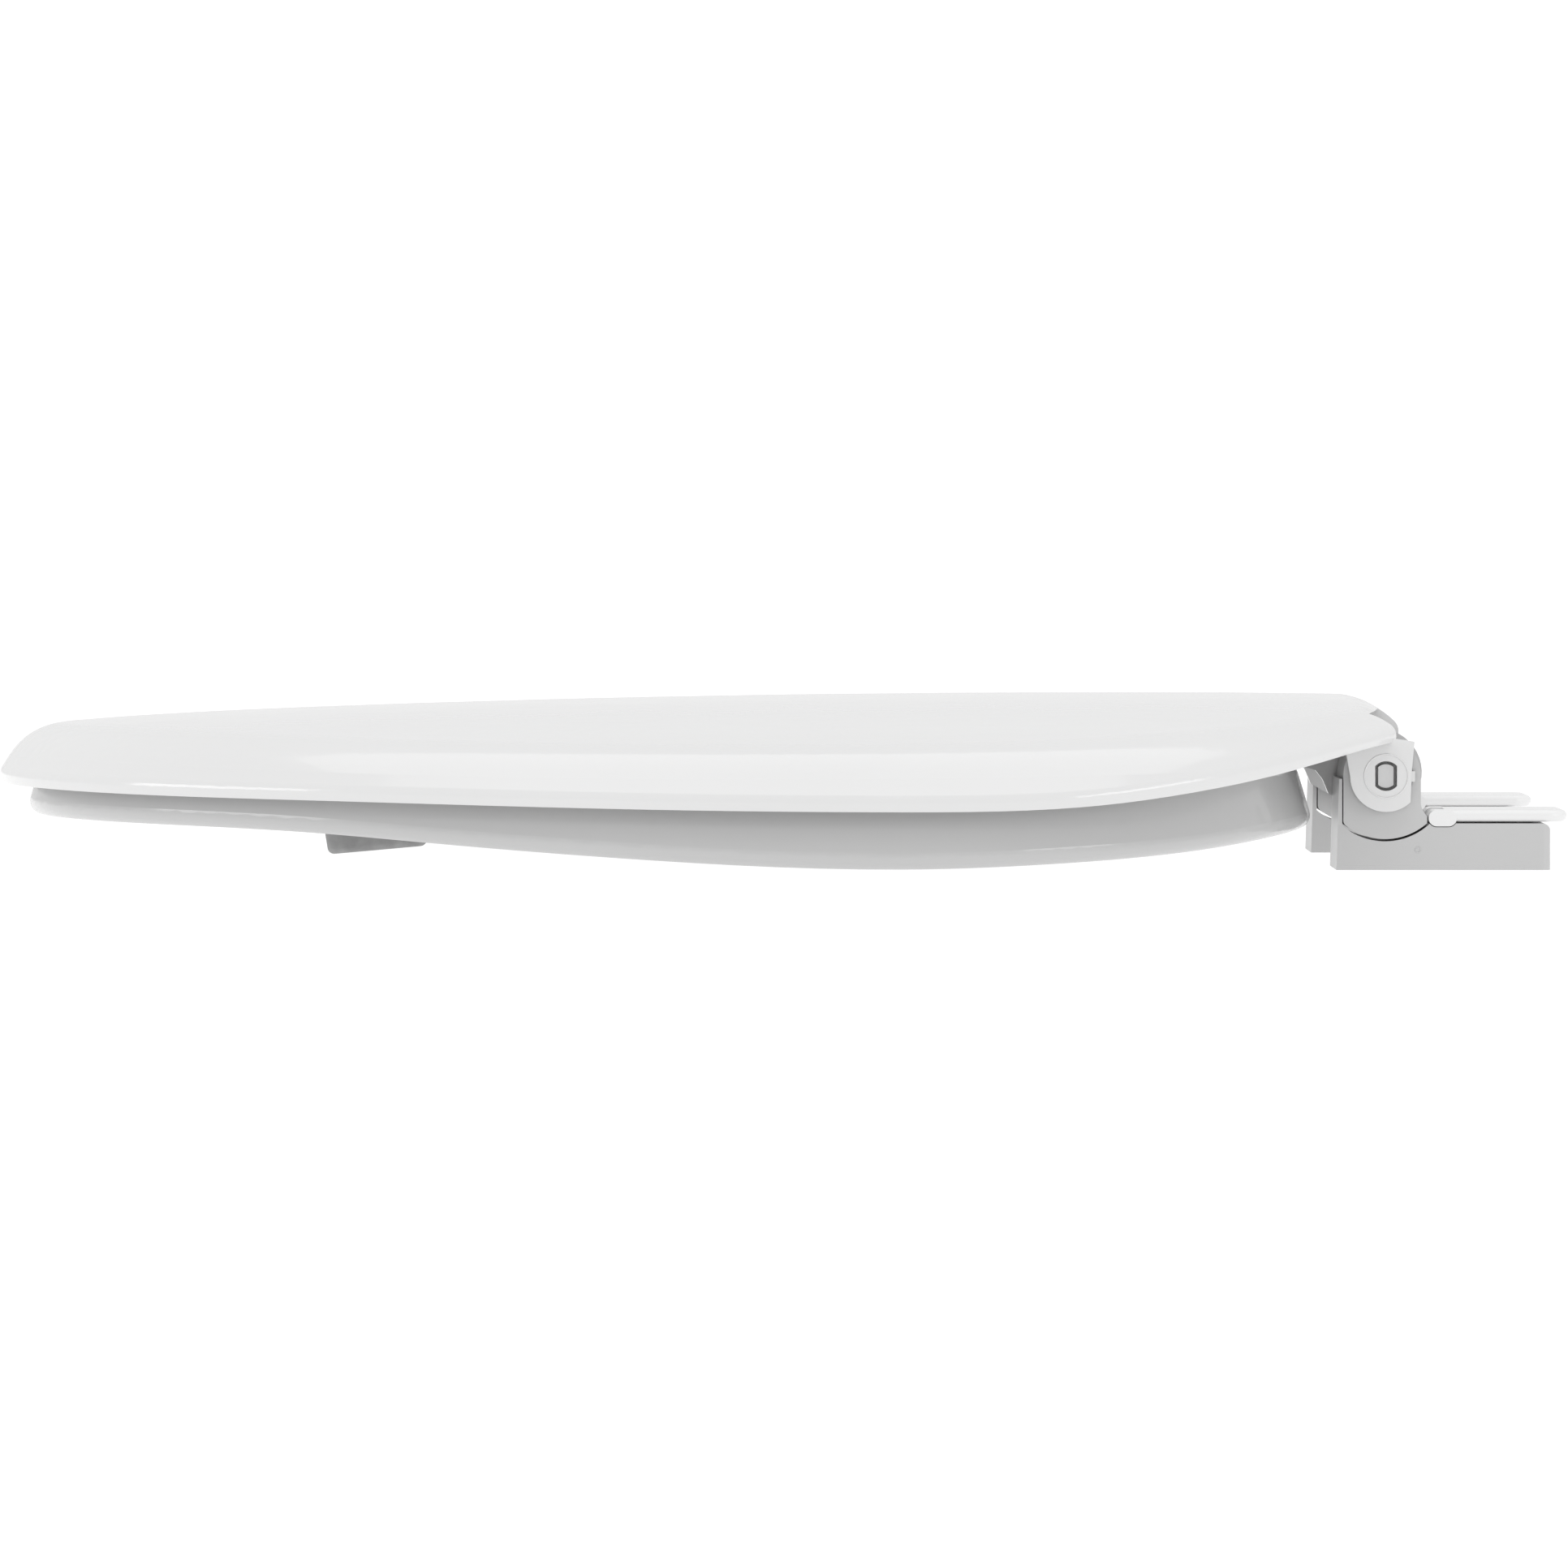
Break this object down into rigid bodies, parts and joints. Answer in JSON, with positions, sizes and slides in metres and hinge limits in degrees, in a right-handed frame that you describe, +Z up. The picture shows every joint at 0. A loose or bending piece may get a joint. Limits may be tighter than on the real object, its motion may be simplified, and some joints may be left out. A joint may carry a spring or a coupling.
{
  "type": "toilet seat",
  "caption": "Closed elongated toilet seat: domed lid over a ring, soft-close hinge posts, lift-off mounting bases with flat release levers.",
  "frame": {"origin": "midway between the two fixing-bolt holes, on the underside of the mounting bases, which is the bowl's rim", "axes": "+X to the seated user's left along the hinge line, +Y back towards the wall, +Z up"},
  "size_m": [0.3732, 0.4881, 0.0525],
  "materials": {
    "lid_plastic": "polished white moulding",
    "ring_plastic": "polished white moulding",
    "hinge_plastic": "satin white moulding",
    "bumper_rubber": "grey soft rubber",
    "damper_plastic": "light grey moulding",
    "bushing_plastic": "natural acetal",
    "spring_steel": "bright stainless"
  },
  "bodies": {
    "base": {"left_mounting_base": "hinge_plastic", "right_mounting_base": "hinge_plastic", "left_lever_pin": "spring_steel", "right_lever_pin": "spring_steel", "left_latch_spring": "spring_steel", "right_latch_spring": "spring_steel"},
    "hinge_posts": {"left_hinge_post": "hinge_plastic", "right_hinge_post": "hinge_plastic", "lid_damper_housing": "damper_plastic", "lid_damper_cap": "damper_plastic", "ring_damper_housing": "damper_plastic", "ring_damper_cap": "damper_plastic", "left_ring_pivot_pin": "damper_plastic", "right_lid_pivot_pin": "damper_plastic"},
    "seat_ring": {"seat_ring_shell": "ring_plastic", "seat_ring_underside": "ring_plastic", "ring_damper_rotor": "damper_plastic", "left_ring_bushing": "bushing_plastic", "front_left_ring_bumper": "bumper_rubber", "front_right_ring_bumper": "bumper_rubber", "rear_left_ring_bumper": "bumper_rubber", "rear_right_ring_bumper": "bumper_rubber"},
    "lid": {"lid_shell": "lid_plastic", "lid_damper_rotor": "damper_plastic", "right_lid_bushing": "bushing_plastic", "front_left_lid_bumper": "bumper_rubber", "front_right_lid_bumper": "bumper_rubber", "rear_left_lid_bumper": "bumper_rubber", "rear_right_lid_bumper": "bumper_rubber"},
    "left_lever": {"left_release_lever": "hinge_plastic"},
    "right_lever": {"right_release_lever": "hinge_plastic"}
  },
  "joints": [
    {"name": "seat_lift", "type": "slide", "parent": "base", "child": "hinge_posts", "axis": [0, 0, 1], "range_m": [0, 0.03]},
    {"name": "ring_hinge", "type": "hinge", "parent": "hinge_posts", "child": "seat_ring", "pos_m": [0, -0.034, 0.029], "axis": [-1, 0, 0], "range_deg": [0, 100]},
    {"name": "lid_hinge", "type": "hinge", "parent": "seat_ring", "child": "lid", "pos_m": [0, -0.034, 0.029], "axis": [1, 0, 0], "range_deg": [-110, 0]},
    {"name": "left_lever_hinge", "type": "hinge", "parent": "base", "child": "left_lever", "pos_m": [0.06985, -0.0181, 0.0159], "axis": [1, 0, 0], "range_deg": [0, 50]},
    {"name": "right_lever_hinge", "type": "hinge", "parent": "base", "child": "right_lever", "pos_m": [-0.06985, -0.0181, 0.0159], "axis": [1, 0, 0], "range_deg": [0, 50]}
  ]
}
